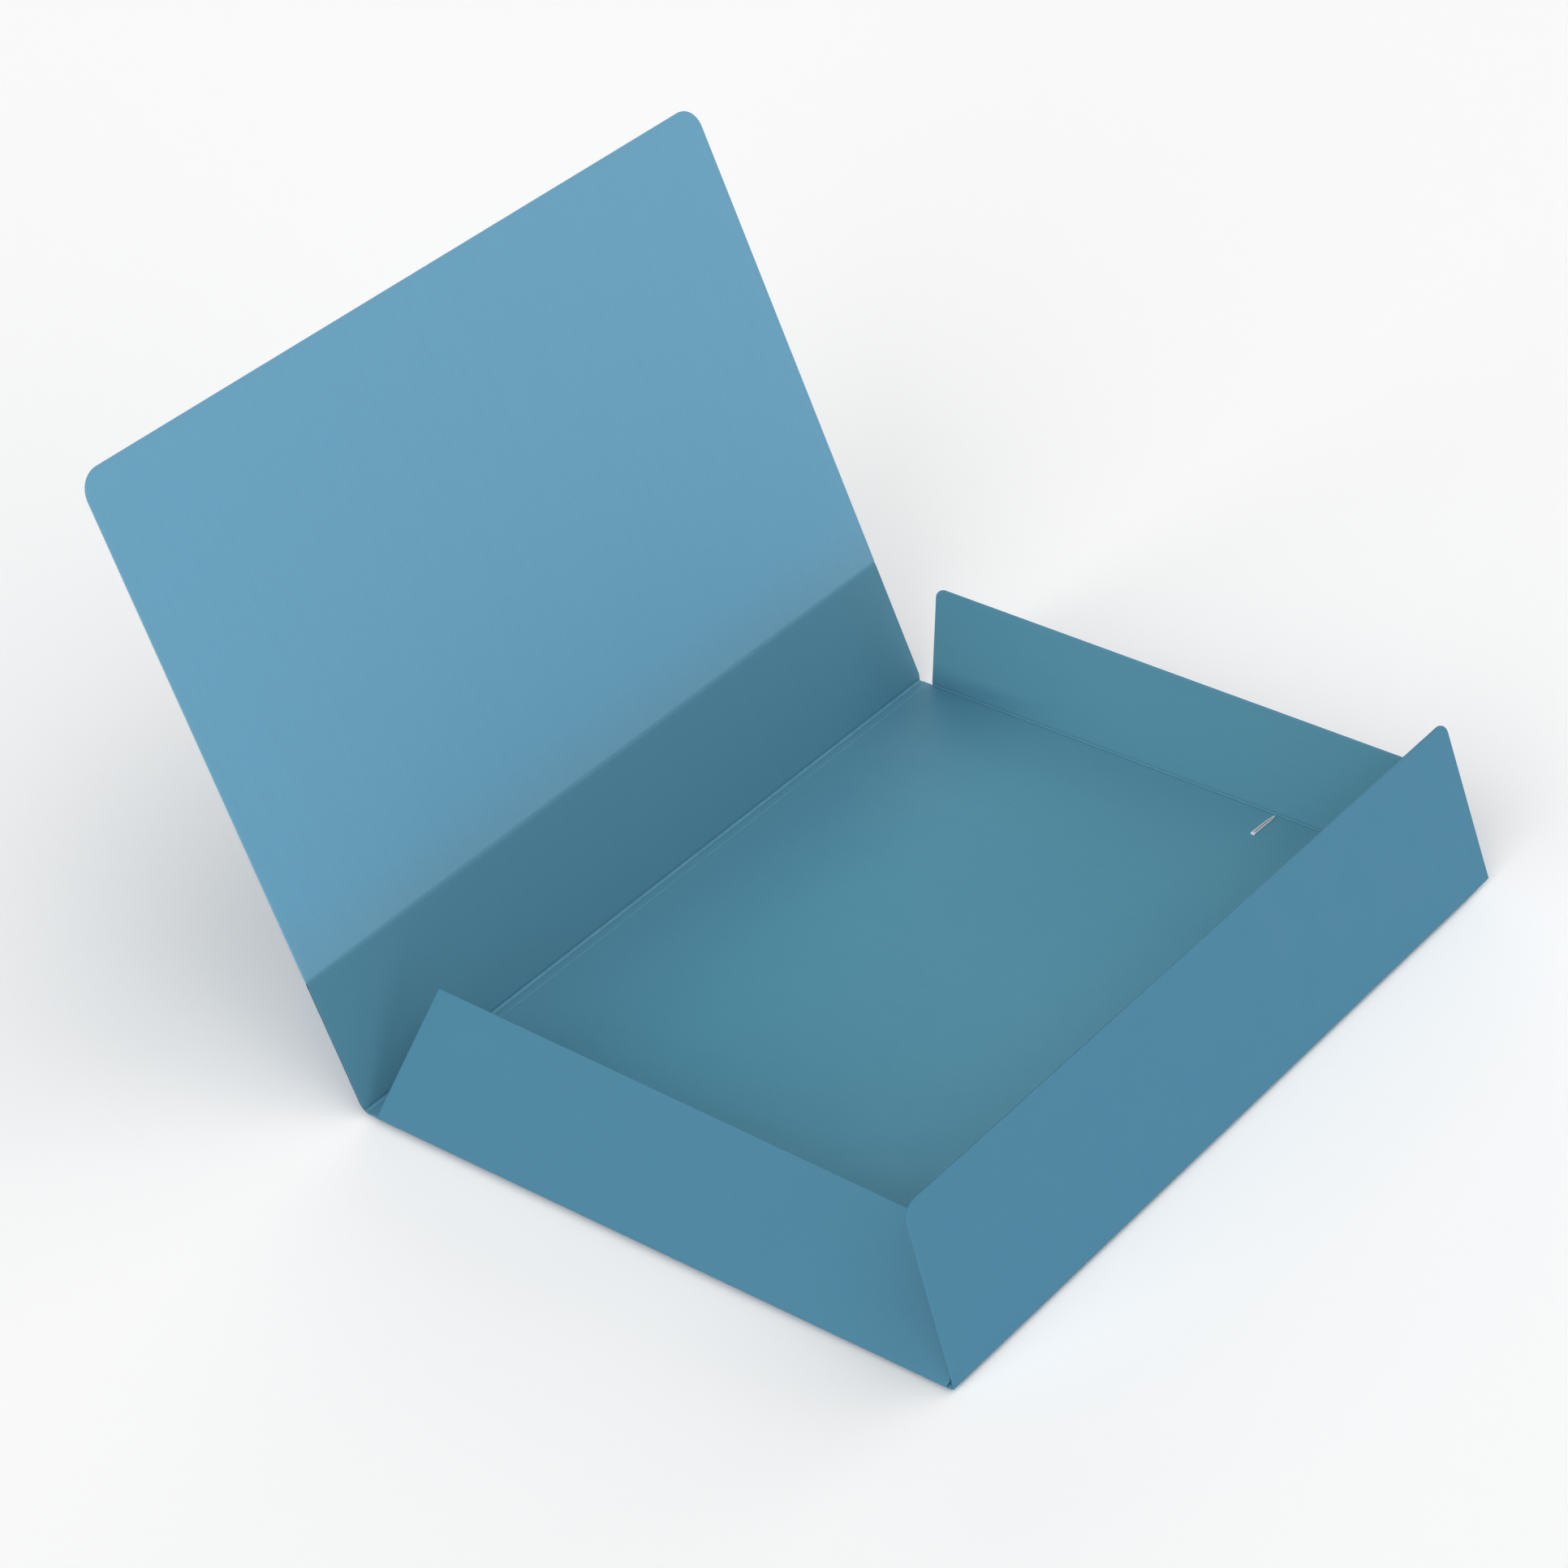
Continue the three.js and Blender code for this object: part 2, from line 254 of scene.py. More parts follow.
class Tree:
    """A small helper that adds and links nodes of one material."""

    def __init__(self, name):
        self.material = bpy.data.materials.new(name)
        self.material.use_nodes = True
        self.nodes = self.material.node_tree.nodes
        self.links = self.material.node_tree.links
        self.shader = self.nodes["Principled BSDF"]

    def put(self, socket, value):
        if isinstance(value, bpy.types.NodeSocket):
            self.links.new(value, socket)
        else:
            socket.default_value = value

    def set(self, **inputs):
        """Sets the shader's inputs, whose names are written with _ for a space."""
        for name, value in inputs.items():
            self.put(self.shader.inputs[name.replace("_", " ")], value)

    def math(self, operation, *values):
        """A maths node. Where there are more than two values, a chain of them."""
        if len(values) > 2:
            values = (self.math(operation, *values[:-1]), values[-1])
        node = self.nodes.new("ShaderNodeMath")
        node.operation = operation
        for socket, value in zip(node.inputs, values):
            self.put(socket, value)
        return node.outputs[0]

    def distance(self, value, line):
        return self.math("ABSOLUTE", self.math("SUBTRACT", value, line))

    def stretch(self, vector, factors):
        node = self.nodes.new("ShaderNodeVectorMath")
        node.operation = "MULTIPLY"
        self.put(node.inputs[0], vector)
        self.put(node.inputs[1], factors)
        return node.outputs[0]

    def mix(self, share, a, b, blend="MIX"):
        """A mix of two colours, which are the node's inputs 6 and 7."""
        node = self.nodes.new("ShaderNodeMix")
        node.data_type = "RGBA"
        node.blend_type = blend
        self.put(node.inputs[0], share)
        self.put(node.inputs[6], a)
        self.put(node.inputs[7], b)
        return node.outputs[2]

    def grey(self, value):
        node = self.nodes.new("ShaderNodeCombineColor")
        for socket in node.inputs:
            self.put(socket, value)
        return node.outputs[0]

    def noise(self, vector, scale, detail, roughness):
        node = self.nodes.new("ShaderNodeTexNoise")
        self.put(node.inputs["Vector"], vector)
        node.inputs["Scale"].default_value = scale
        node.inputs["Detail"].default_value = detail
        node.inputs["Roughness"].default_value = roughness
        return node.outputs["Fac"]

    def span(self, value, low, high, to_low=0.0, to_high=1.0, kind="SMOOTHSTEP"):
        node = self.nodes.new("ShaderNodeMapRange")
        node.interpolation_type = kind
        for socket, number in zip(node.inputs, (value, low, high, to_low, to_high)):
            self.put(socket, number)
        return node.outputs[0]

    def spread(self, noise, low, high):
        """Lets the middle half of a noise's range run from low to high."""
        return self.span(noise, *NOISE_ENDS, low, high, "LINEAR")

    def attribute(self, name):
        node = self.nodes.new("ShaderNodeAttribute")
        node.attribute_name = name
        return node.outputs["Vector"]

    def axes(self, vector):
        node = self.nodes.new("ShaderNodeSeparateXYZ")
        self.put(node.inputs[0], vector)
        return node.outputs

    def bump(self, height, depth, normal=None):
        """A bump whose depth is in millimetres."""
        node = self.nodes.new("ShaderNodeBump")
        node.inputs["Strength"].default_value = 1.0
        node.inputs["Distance"].default_value = depth * MM
        self.put(node.inputs["Height"], height)
        if normal is not None:
            self.put(node.inputs["Normal"], normal)
        return node.outputs[0]


def sheet_faces(t, x, y, on_inner):
    """The colour of the sheet's two faces, with painted shade by the spine crease, on the spine, on the
    cover low by its crease and on the near flap's outer face, and painted light on the cover and towards
    the far flap.
    """
    # painted shade beside the spine crease: the spine's darker tone fades into the base's past the
    # crease, and a little way onto the short flaps
    past_hinge = t.span(x, SPINE_X, SPINE_X + HINGE_SHADE)
    past_side = t.span(t.math("ABSOLUTE", y), FAR_Y, FAR_Y + FLAP_SHADE)
    # painted light: the base grows lighter towards the far flap
    base = t.mix(t.span(y, FAR_Y - FAR_LIGHT_REACH, FAR_Y), BASE_TONE, FAR_LIT_TONE)
    # painted light on the cover, and painted shade on it low by its crease
    cover = t.mix(t.span(x, COVER_X - COVER_SHADE, COVER_X), LIT_COVER_TONE, SHADED_COVER_LOW_TONE)
    inner = t.mix(t.math("MAXIMUM", past_hinge, past_side), SHADED_SPINE_TONE, base)
    inner = t.mix(t.math("LESS_THAN", x, COVER_X), inner, cover)
    # painted shade on the near flap's outer face
    outer = t.mix(t.math("LESS_THAN", y, NEAR_Y), OUTER_TONE, SHADED_NEAR_OUTER_TONE)
    outer = t.mix(t.math("LESS_THAN", x, SPINE_X), outer, OUTER_TONE)
    outer = t.mix(t.math("GREATER_THAN", x, FORE_X), outer, OUTER_TONE)
    return t.mix(on_inner, outer, inner)


def sheet_edges(t, x):
    """The colour of the sheet's cut edges, with painted shade on the spine's and painted light on the
    cover's.
    """
    edge = t.mix(t.math("LESS_THAN", x, SPINE_X), EDGE_TONE, SHADED_SPINE_EDGE_TONE)
    return t.mix(t.math("LESS_THAN", x, COVER_X), edge, LIT_COVER_EDGE_TONE)


def crease_paleness(t, blank, x, y, on_inner):
    """How pale the plastic is where a crease has stretched its inner face."""
    beside = t.math("MULTIPLY", t.math("GREATER_THAN", x, FLAP_START), t.math("LESS_THAN", x, FORE_X))
    elsewhere = t.math("MULTIPLY", t.math("SUBTRACT", 1.0, beside), FAR_AWAY)
    from_side = t.math("ADD", t.distance(t.math("ABSOLUTE", y), FAR_Y), elsewhere)
    nearest = t.math("MINIMUM", t.distance(x, SPINE_X), t.distance(x, SPINE_X + SECOND_CREASE),
                     t.distance(x, FORE_X), from_side)
    patchy = t.span(t.noise(blank, *PATCH_NOISE), *PATCH_ENDS, *CREASE_PATCHES)
    return t.math("MULTIPLY", t.span(nearest, *CREASE_REACH), patchy, on_inner, CREASE_PALENESS)


def sheet_material():
    """Satin polypropylene. Its tones follow the blank: outer face, base, spine, cover and cut edges, with
    painted light and painted shade among them.
    """
    t = Tree("polypropylene_sheet")
    blank = t.attribute("blank")
    x, y, w = t.axes(blank)
    on_inner = t.span(w, *INNER_FACE)
    on_edge = t.math("MULTIPLY", t.span(w, *OUTER_RIM), t.span(w, *INNER_RIM))
    tone = t.mix(on_edge, sheet_faces(t, x, y, on_inner), sheet_edges(t, x))
    tone = t.mix(crease_paleness(t, blank, x, y, on_inner), tone, CREASE_TONE)
    mottle = t.spread(t.noise(blank, *MOTTLE_NOISE), *MOTTLE_SPREAD)
    streak = t.spread(t.noise(t.stretch(blank, STREAK_STRETCH), *STREAK_NOISE), *STREAK_SPREAD)
    tone = t.mix(1.0, tone, t.grey(t.math("MULTIPLY", mottle, streak)), "MULTIPLY")
    rough = t.spread(t.noise(blank, *GLOSS_NOISE), *SHEET_ROUGHNESS)
    rough = t.math("MAXIMUM", rough, t.math("MULTIPLY", on_edge, CUT_ROUGHNESS))
    grain = t.bump(t.noise(blank, *GRAIN_NOISE), GRAIN_DEPTH)
    wave = t.bump(t.noise(blank, *WAVE_NOISE), WAVE_DEPTH, grain)
    t.set(Base_Color=tone, Roughness=rough, IOR=SHEET_IOR, Specular_IOR_Level=SHEET_SPECULAR, Normal=wave)
    return t.material


def elastic_material():
    """The braided cover of the elastic, darker where its threads lie low, as painted shade in the braid's
    hollows.
    """
    t = Tree("braided_elastic")
    place = t.attribute("blank")
    height = t.axes(place)[2]
    fibre = t.noise(t.stretch(place, FIBRE_STRETCH), *FIBRE_NOISE)
    tone = t.mix(height, THREAD_HOLLOW_SHADE_TONE, THREAD_TONE)
    tone = t.mix(t.span(fibre, *FIBRE_ENDS, 0.0, FIBRE_PALENESS), tone, FIBRE_TONE)
    t.set(Base_Color=tone, Roughness=THREAD_ROUGHNESS, Sheen_Weight=THREAD_SHEEN,
          Sheen_Roughness=THREAD_SHEEN_ROUGHNESS, Normal=t.bump(fibre, FIBRE_DEPTH))
    return t.material


def barb_material():
    """Bright nickel-plated strip, finely brushed along its length, with dark brown painted shade in the
    folded seam.
    """
    t = Tree("plated_barb")
    place = t.attribute("blank")
    seam_shade = t.axes(place)[2]
    brushed = t.noise(t.stretch(place, BRUSH_STRETCH), *BRUSH_NOISE)
    tone = t.mix(t.span(seam_shade, *SEAM_SHADE_SPAN), BRIGHT_TONE, SEAM_SHADE_TONE)
    tone = t.mix(t.span(brushed, *BRUSH_ENDS, 0.0, BRUSHED_SHARE), tone, BRUSHED_TONE)
    t.set(Base_Color=tone, Metallic=BARB_METAL, Roughness=t.spread(brushed, *BARB_ROUGHNESS),
          Normal=t.bump(brushed, BRUSH_DEPTH))
    return t.material


SHEET_LOOK = sheet_material()
ELASTIC_LOOK = elastic_material()
BARB_LOOK = barb_material()


# Meshes

def fold_about(pivot, axis, degrees):
    """The turn about an axis through a point, in millimetres."""
    centre = Vector(pivot)
    turn = Matrix.Rotation(math.radians(degrees), 4, axis)
    return Matrix.Translation(centre) @ turn @ Matrix.Translation(-centre)


FLAT = Matrix.Identity(4)
SPINE_TURN = fold_about((SPINE_X, 0, SHEET), "Y", SPINE_FOLD)
NEAR_TURN = fold_about((0, NEAR_Y, SHEET), "X", -NEAR_FOLD)
FAR_TURN = fold_about((0, FAR_Y, SHEET), "X", FAR_FOLD)
FORE_TURN = fold_about((FORE_X, 0, SHEET), "Y", -FORE_FOLD)


def make_object(name, points, faces, blank, material, sharp_angle):
    """A mesh object from points in millimetres, with the blank coordinates of each point kept on it."""
    mesh = bpy.data.meshes.new(name)
    mesh.from_pydata([tuple(Vector(p) * MM) for p in points], [], faces)
    place = mesh.attributes.new("blank", "FLOAT_VECTOR", "POINT")
    place.data.foreach_set("vector", [c for p in blank for c in p])
    mesh.polygons.foreach_set("use_smooth", [True] * len(mesh.polygons))
    mesh.set_sharp_from_angle(angle=math.radians(sharp_angle))
    mesh.materials.append(material)
    mesh.validate()
    obj = bpy.data.objects.new(name, mesh)
    bpy.context.scene.collection.objects.link(obj)
    return obj


def loft(name, rings, material, sharp_angle):
    """A closed skin over rings of equal counts. A ring is a list of (point, blank coordinates)."""
    count = len(rings[0])
    points = [point for ring in rings for point, _ in ring]
    blank = [place for ring in rings for _, place in ring]
    faces = []
    for low in range(0, len(points) - count, count):
        for i in range(count):
            j = (i + 1) % count
            faces.append((low + i, low + j, low + count + j, low + count + i))
    faces.append(tuple(reversed(range(count))))
    faces.append(tuple(range(len(points) - count, len(points))))
    obj = make_object(name, points, faces, blank, material, sharp_angle)
    bm = bmesh.new()
    bm.from_mesh(obj.data)
    bmesh.ops.recalc_face_normals(bm, faces=bm.faces[:])
    bm.to_mesh(obj.data)
    bm.free()
    return obj


def between(a, b, share):
    return a + (b - a) * share


# Panels

def rounded_outline(corners):
    """Points (x, y, cut) of a closed outline. Each corner is (x, y, radius, cut), where cut says that
    the side after it is a cut edge and not one that goes on into a fold."""
    points = []
    count = len(corners)
    for i, (x, y, radius, cut) in enumerate(corners):
        corner = Vector((x, y))
        if not radius:
            points.append((x, y, cut))
            continue
        before = Vector(corners[i - 1][:2]) - corner
        after = Vector(corners[(i + 1) % count][:2]) - corner
        half = before.angle(after) / 2
        inward = (before.normalized() + after.normalized()).normalized()
        centre = corner + inward * (radius / math.sin(half))
        middle = math.atan2(-inward.y, -inward.x)
        sweep = math.pi / 2 - half
        for step in range(CORNER_STEPS + 1):
            angle = middle - sweep + 2 * sweep * step / CORNER_STEPS
            spot = centre + radius * Vector((math.cos(angle), math.sin(angle)))
            points.append((spot.x, spot.y, cut if step == CORNER_STEPS else True))
    return points


def circle(x, y, radius, sides):
    """A hole's outline, clockwise, all of it cut."""
    turns = [-2 * math.pi * i / sides for i in range(sides)]
    return [(x + radius * math.cos(a), y + radius * math.sin(a), True) for a in turns]


def panel(name, corners, turn, holes=(), grooves=()):
    """A flat panel of the sheet, with softened cut edges, folded into place by the matrix turn."""
    bm = bmesh.new()
    cut_edges = []
    rims = [], []
    for loop in [rounded_outline(corners), *holes]:
        count = len(loop)
        rings = [[bm.verts.new((x, y, w)) for x, y, _ in loop] for w in (0, SHEET)]
        for i in range(count):
            j = (i + 1) % count
            bm.faces.new((rings[0][i], rings[0][j], rings[1][j], rings[1][i]))
        for rim, ring in zip(rims, rings):
            for i in range(count):
                edge = bm.edges.get((ring[i], ring[(i + 1) % count]))
                rim.append(edge)
                if loop[i][2]:
                    cut_edges.append(edge)
    for rim in rims:
        if holes:
            bmesh.ops.triangle_fill(bm, use_beauty=True, edges=rim)
        else:
            bmesh.ops.contextual_create(bm, geom=rim)
    bmesh.ops.recalc_face_normals(bm, faces=bm.faces[:])
    bmesh.ops.bevel(bm, geom=cut_edges, offset=EDGE_ROUND, offset_type="OFFSET", affect="EDGES",
                    segments=EDGE_SEGMENTS, profile=0.5, clamp_overlap=True)
    for x in grooves:
        for line in (x - GROOVE_HALF, x, x + GROOVE_HALF):
            bmesh.ops.bisect_plane(bm, geom=bm.verts[:] + bm.edges[:] + bm.faces[:], dist=SNAP,
                                   plane_co=(line, 0, 0), plane_no=(1, 0, 0))
    bm.verts.index_update()
    blank = [tuple(v.co) for v in bm.verts]
    faces = [[v.index for v in f.verts] for f in bm.faces]
    flat = [abs(f.normal.z) > 1 - NEARLY for f in bm.faces]
    bm.free()
    points = []
    for x, y, w in blank:
        pressed = any(abs(x - line) < NEARLY for line in grooves) and w > SHEET - NEARLY
        points.append(turn @ Vector((x, y, w - GROOVE_DEPTH if pressed else w)))
    obj = make_object(name, points, faces, blank, SHEET_LOOK, PANEL_SHARP)
    for polygon, is_flat in zip(obj.data.polygons, flat):
        polygon.use_smooth = not is_flat
    return obj


def spine_side(flap, u):
    """Where a short flap's end by the spine lies, at the distance u from its crease."""
    return FLAP_START + FLAP_SLANT * max(0.0, u - CREASE_GAP) / (flap["height"] - CREASE_GAP)


def fore_side(u):
    """Where a short flap's end by the fore flap lies, at the distance u from its crease."""
    lean = RELIEF_GAP + u * math.tan(math.radians(RELIEF_LEAN))
    return FORE_X - max(RELIEF_NOTCH - NOTCH_SLANT * u, lean)


def short_flap(name, flap, crease_y, outward, turn):
    rows = [
        (spine_side(flap, FOLD_HALF), FOLD_HALF, 0, True),
        (FLAP_START + FLAP_SLANT, flap["height"], flap["spine_corner"], True),
        (fore_side(flap["fore_height"]), flap["fore_height"], FLAP_CORNER, True),
        (fore_side(FOLD_HALF), FOLD_HALF, 0, False),
    ]
    corners = [(x, crease_y + outward * u, radius, cut) for x, u, radius, cut in rows]
    if outward > 0:
        corners = [corners[i][:3] + (i != 0,) for i in (3, 2, 1, 0)]
    return panel(name, corners, turn)


base_sheet = panel(
    "base_sheet",
    [
        (SPINE_X + SPINE_FOLD_HALF, NEAR_Y, 0, True),
        (FLAP_START, NEAR_Y, 0, False),
        (FLAP_START, NEAR_Y + FOLD_HALF, 0, False),
        (FORE_X - FOLD_HALF, NEAR_Y + FOLD_HALF, 0, False),
        (FORE_X - FOLD_HALF, FAR_Y - FOLD_HALF, 0, False),
        (FLAP_START, FAR_Y - FOLD_HALF, 0, False),
        (FLAP_START, FAR_Y, 0, True),
        (SPINE_X + SPINE_FOLD_HALF, FAR_Y, 0, False),
    ],
    FLAT,
    holes=[circle(CORD_X, y, HOLE_RADIUS, HOLE_SIDES) for y in (CORD_END_Y, -CORD_END_Y)],
    grooves=[SPINE_X + SECOND_CREASE],
)
spine_sheet = panel(
    "spine_sheet",
    [
        (COVER_X + COVER_FOLD_HALF, -COVER_END, 0, True),
        (SPINE_X - SPINE_FOLD_HALF, -COVER_END, 0, False),
        (SPINE_X - SPINE_FOLD_HALF, COVER_END, 0, True),
        (COVER_X + COVER_FOLD_HALF, COVER_END, 0, False),
    ],
    SPINE_TURN,
)
cover_sheet = panel(
    "cover_sheet",
    [
        (COVER_X - COVER_WIDTH, -COVER_END, COVER_CORNER, True),
        (COVER_X - COVER_FOLD_HALF, -COVER_END, 0, False),
        (COVER_X - COVER_FOLD_HALF, COVER_END, 0, True),
        (COVER_X - COVER_WIDTH, COVER_END, COVER_CORNER, True),
    ],
    SPINE_TURN,
)
near_flap_sheet = short_flap("near_flap_sheet", NEAR_FLAP, NEAR_Y, -1, NEAR_TURN)
far_flap_sheet = short_flap("far_flap_sheet", FAR_FLAP, FAR_Y, 1, FAR_TURN)
fore_flap_sheet = panel(
    "fore_flap_sheet",
    [
        (FORE_X + FOLD_HALF, NEAR_Y + FORE_FLAP_NEAR_STEP, 0, True),
        (FORE_X + FORE_FLAP_HEIGHT, NEAR_Y - FORE_FLAP_NEAR_REACH, FORE_FLAP_CORNER, True),
        (FORE_X + FORE_FLAP_HEIGHT, FAR_Y + FORE_FLAP_FAR_REACH, FORE_FLAP_CORNER, True),
        (FORE_X, FAR_Y + FORE_FLAP_EAR, 0, True),
        (FORE_X, FAR_Y, 0, False),
        (FORE_X + FOLD_HALF, FAR_Y, 0, False),
    ],
    FORE_TURN,
)


# Folds

def strip_ends(rows, q):
    """A strip's two ends at q, from a table of (q, start, end) and straight between its rows."""
    if q <= rows[0][0]:
        return rows[0][1:]
    for low, high in zip(rows, rows[1:]):
        if q <= high[0]:
            share = (q - low[0]) / (high[0] - low[0])
            return tuple(between(a, b, share) for a, b in zip(low[1:], high[1:]))
    return rows[-1][1:]


def strip_section(start, end, low, high, r):
    """The closed section of a fold along its line, with corners of radius r, as (v, w, face). face is
    the w of the blank that the point belongs to."""
    k = r * (1 - math.sqrt(0.5))
    quarter = SHEET / 4
    return [
        (start + r, low, 0), (start + 2 * r, low, 0), (end - 2 * r, low, 0), (end - r, low, 0),
        (end - k, low + k, quarter), (end, low + r, 2 * quarter), (end, high - r, 2 * quarter),
        (end - k, high - k, 3 * quarter),
        (end - r, high, SHEET), (end - 2 * r, high, SHEET), (start + 2 * r, high, SHEET),
        (start + r, high, SHEET),
        (start + k, high - k, 3 * quarter), (start, high - r, 2 * quarter),
        (start, low + r, 2 * quarter), (start + k, low + k, quarter),
    ]


def fold_strip(name, axis, place, outward, degrees, ends, half=FOLD_HALF, radius=0, joined=True,
               turn=FLAT):
    """The bent strip of sheet between two panels, and the two points between which it bends. It runs
    along axis at place on the blank, and its far side lies towards outward. ends is a table of
    (q, start, end) by the distance q from the crease, and joined says whether the strip's ends are
    closed off by the sheet at negative q."""
    tangent = radius * math.tan(math.radians(abs(degrees)) / 2)

    def spot(u, v, w):
        across = place + outward * u
        return Vector((across, v, w)) if axis == "Y" else Vector((v, across, w))

    def on_panel(distance):
        return tangent + (half - tangent) * distance / half

    whole = fold_about(spot(0, 0, SHEET), axis, degrees)
    shape = [(half, 0.0, 0.0), (FOLD_FLAT_FROM * half, 0.0, 0.0), *PRESS]
    # Rows of q on the blank, distance u along its panel, how it is turned, and both faces' press
    stations = [(-q, -on_panel(q), FLAT, outer, inner) for q, outer, inner in shape]
    if degrees:
        for i in range(BEND_STEPS + 1):
            share = i / BEND_STEPS
            bend = fold_about(spot(-tangent, 0, SHEET + radius), axis, degrees * share)
            stations.append((BEND_HALF * (2 * share - 1), -tangent, bend, *BENT_PRESS))
    else:
        stations.append((0.0, 0.0, FLAT, *STRAIGHT_PRESS))
    stations += [(q, on_panel(q), whole, outer, inner) for q, outer, inner in reversed(shape)]

    rings = []
    for q, u, move, outer, inner in stations:
        rounding = JOINED_ROUND if joined and q < 0 else EDGE_ROUND
        section = strip_section(*strip_ends(ends, q), outer, SHEET - inner, rounding)
        rings.append([(turn @ (move @ spot(u, v, w)), tuple(spot(q, v, face))) for v, w, face in section])
    start = turn @ spot(-half, 0, SHEET)
    end = turn @ whole @ spot(half, 0, SHEET)
    return loft(name, rings, SHEET_LOOK, FOLD_SHARP), start * MM, end * MM


def flap_fold_ends(flap):
    """The ends of a short flap's fold: mitred on the base, and along the flap's own sides beyond."""
    return [
        (-FOLD_HALF, FLAP_START, FORE_X - FOLD_HALF),
        (-BEND_HALF, FLAP_START, FORE_X - BEND_HALF),
        (0.0, FLAP_START, fore_side(0)),
        (NOTCH_TOP, spine_side(flap, NOTCH_TOP), fore_side(NOTCH_TOP)),
        (FOLD_HALF, spine_side(flap, FOLD_HALF), fore_side(FOLD_HALF)),
    ]


spine_fold, *spine_span = fold_strip(
    "spine_fold", "Y", SPINE_X, -1, SPINE_FOLD,
    [(-SPINE_FOLD_HALF, NEAR_Y, FAR_Y), (-SPINE_WIDENS, NEAR_Y, FAR_Y),
     (SPINE_FOLD_HALF, -COVER_END, COVER_END)],
    half=SPINE_FOLD_HALF, radius=SPINE_FOLD_RADIUS, joined=False)
cover_fold, *cover_span = fold_strip(
    "cover_fold", "Y", COVER_X, -1, 0,
    [(-COVER_FOLD_HALF, -COVER_END, COVER_END), (COVER_FOLD_HALF, -COVER_END, COVER_END)],
    half=COVER_FOLD_HALF, joined=False, turn=SPINE_TURN)
near_fold, *near_span = fold_strip("near_fold", "X", NEAR_Y, -1, -NEAR_FOLD, flap_fold_ends(NEAR_FLAP))
far_fold, *far_span = fold_strip("far_fold", "X", FAR_Y, 1, FAR_FOLD, flap_fold_ends(FAR_FLAP))
fore_fold, *fore_span = fold_strip(
    "fore_fold", "Y", FORE_X, 1, -FORE_FOLD,
    [(-FOLD_HALF, NEAR_Y + FOLD_HALF, FAR_Y - FOLD_HALF),
     (-BEND_HALF, NEAR_Y + BEND_HALF, FAR_Y - BEND_HALF),
     (0.0, NEAR_Y, FAR_Y), (FOLD_HALF, NEAR_Y + FORE_FLAP_NEAR_STEP, FAR_Y)])


# The elastic cord

def cord_route():
    """Points and directions along the cord, from inside the far barb to inside the near one."""
    run_z = -CORD_CLEARANCE - CORD_RADIUS
    bend_y, bend_z = CORD_END_Y - CORD_BEND, run_z + CORD_BEND
    top = SHEET + BARB_LIFT + CORD_INTO_BARB
    half = []
    for i in range(CORD_DROP_STEPS):
        z = between(top, bend_z, i / CORD_DROP_STEPS)
        half.append((Vector((CORD_X, CORD_END_Y, z)), Vector((0, 0, -1))))
    centre = Vector((CORD_X, bend_y, bend_z))
    for i in range(CORD_BEND_STEPS + 1):
        angle = math.pi / 2 * i / CORD_BEND_STEPS
        half.append((centre + CORD_BEND * Vector((0, math.cos(angle), -math.sin(angle))),
                     Vector((0, -math.sin(angle), -math.cos(angle)))))
    count = round(2 * bend_y / CORD_STEP)
    run = [(Vector((CORD_X, between(bend_y, -bend_y, i / count), run_z)), Vector((0, -1, 0)))
           for i in range(1, count)]
    back = [(Vector((p.x, -p.y, p.z)), Vector((d.x, d.y, -d.z))) for p, d in reversed(half)]
    return half + run + back


def braid_height(s, angle):
    """How proud the braid's threads stand, from 0 to 1, at a place along and round the cord."""
    turn = 2 * math.pi * s / BRAID_LAY
    strands = BRAID_STRANDS / 2
    right = abs(math.cos(strands * (angle + turn) / 2))
    left = abs(math.cos(strands * (angle - turn) / 2))
    over = 0.5 + 0.5 * math.sin(strands * angle) * math.cos(strands * turn)
    return max(right * (1 - BRAID_DIP * (1 - over)), left * (1 - BRAID_DIP * over))


def elastic_cord():
    """The braided cord. It is squeezed to CORD_THROAT where it goes up through a hole into a barb."""
    route = cord_route()
    side = Vector((1, 0, 0))
    rings = []
    s = 0.0
    for i, (centre, direction) in enumerate(route):
        if i:
            s += (centre - route[i - 1][0]).length
        other = direction.cross(side)
        below = min(1.0, max(0.0, -centre.z / (CORD_CLEARANCE + CORD_RADIUS)))
        girth = between(CORD_THROAT, CORD_RADIUS, below ** 2)
        ring = []
        for k in range(CORD_SIDES):
            angle = 2 * math.pi * k / CORD_SIDES
            height = braid_height(s, angle)
            radius = girth - BRAID_DEPTH * (1 - height)
            point = centre + radius * (math.cos(angle) * side + math.sin(angle) * other)
            ring.append((point, (s, angle, height)))
        rings.append(ring)
    return loft("elastic_braid", rings, ELASTIC_LOOK, CORD_SHARP)


# The barbs. Stations run from a barb's square end to its point: y, width, height, how open its seam is
BARB_STATIONS = [
    (-7.0, 1.62, 0.62, 0.1), (-6.94, 1.76, 0.72, 0.3), (-6.2, 1.74, 0.76, 0.5), (-5.0, 1.66, 0.78, 0.8),
    (-4.0, 1.6, 0.8, 1.0), (-2.5, 1.56, 0.8, 1.0), (0.0, 1.56, 0.8, 1.0), (1.6, 1.5, 0.8, 1.0),
    (2.6, 1.44, 0.78, 1.0), (3.4, 1.36, 0.76, 1.0), (4.2, 1.24, 0.72, 0.85), (5.0, 1.1, 0.66, 0.5),
    (5.8, 0.92, 0.6, 0.2), (6.4, 0.72, 0.52, 0.0), (6.8, 0.52, 0.44, 0.0), (7.0, 0.32, 0.34, 0.0),
]
